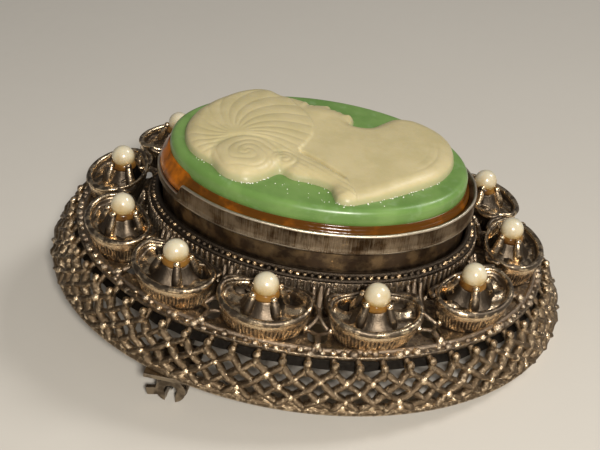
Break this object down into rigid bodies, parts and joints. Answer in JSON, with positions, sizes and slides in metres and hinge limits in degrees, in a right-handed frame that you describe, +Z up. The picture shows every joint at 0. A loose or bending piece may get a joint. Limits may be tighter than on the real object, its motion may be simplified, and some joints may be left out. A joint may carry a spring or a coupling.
{
  "type": "pill box brooch",
  "caption": "Oval pill box worn as a brooch: cameo lid on a hinge, pearl-set openwork frame, pin stem and safety catch on the back.",
  "frame": {"origin": "on the table, under the middle of the openwork rim", "axes": "+Z up from the table; +X along the long axis towards the foot of the bust; -Y is the front, +Y the hinge side. The brooch leans about Y because it stands on its two pin findings and the +X end of its rim"},
  "size_m": [0.0536, 0.0448, 0.0203],
  "materials": {
    "antique_gold": "antiqued, dark in the recesses and rubbed bright on the high points",
    "dark_gold": "antiqued, mostly dark",
    "band_metal": "vertical brushed lines under a brown patina",
    "gilt_cup": "satin gilt",
    "steel": "satin",
    "pearl": "pearl lustre, cream to yellowish",
    "pearl_glue": "yellowed glossy glue",
    "amber_cement": "deep amber, glossy",
    "green_plaque": "glossy moulded resin",
    "cream_relief": "satin moulded resin, slightly waxy"
  },
  "bodies": {
    "frame": {"rope_rim": "antique_gold", "openwork_skirt": "antique_gold", "crown_plate": "dark_gold", "beaded_wire": "antique_gold", "scallop_cup_01": "antique_gold", "scallop_cup_02": "antique_gold", "scallop_cup_03": "antique_gold", "scallop_cup_04": "antique_gold", "scallop_cup_05": "antique_gold", "scallop_cup_06": "antique_gold", "scallop_cup_07": "antique_gold", "scallop_cup_08": "antique_gold", "scallop_cup_09": "antique_gold", "scallop_cup_10": "antique_gold", "scallop_cup_11": "antique_gold", "scallop_cup_12": "antique_gold", "pearl_01": "pearl", "pearl_02": "pearl", "pearl_03": "pearl", "pearl_04": "pearl", "pearl_05": "pearl", "pearl_06": "pearl", "pearl_07": "pearl", "pearl_08": "pearl", "pearl_09": "pearl", "pearl_10": "pearl", "pearl_11": "pearl", "pearl_12": "pearl", "pearl_prongs": "antique_gold", "pearl_cement": "pearl_glue", "pill_cup": "gilt_cup", "cup_knuckles": "dark_gold", "hinge_pin": "steel", "catch_barrel": "dark_gold", "pin_joint": "dark_gold", "pin_rivet": "steel"},
    "lid": {"lid_tray": "gilt_cup", "lid_rim": "gilt_cup", "bezel_band": "band_metal", "cameo_cement": "amber_cement", "cameo_plaque": "green_plaque", "cameo_relief": "cream_relief", "lid_knuckle": "dark_gold"},
    "pin": {"pin_stem": "steel"},
    "roller": {"catch_roller": "dark_gold"}
  },
  "joints": [
    {"name": "lid_hinge", "type": "hinge", "parent": "frame", "child": "lid", "pos_m": [0.00124, 0.01325, 0.01398], "axis": [-0.9929, 0, 0.1193], "range_deg": [0, 100]},
    {"name": "pin_hinge", "type": "hinge", "parent": "frame", "child": "pin", "pos_m": [-0.00943, 0.0192, 0.00152], "axis": [0.9929, 0, -0.1193], "range_deg": [0, 75]},
    {"name": "catch_roll", "type": "hinge", "parent": "frame", "child": "roller", "pos_m": [-0.00943, -0.018, 0.00152], "axis": [0, -1, 0], "range_deg": [0, 110]}
  ]
}
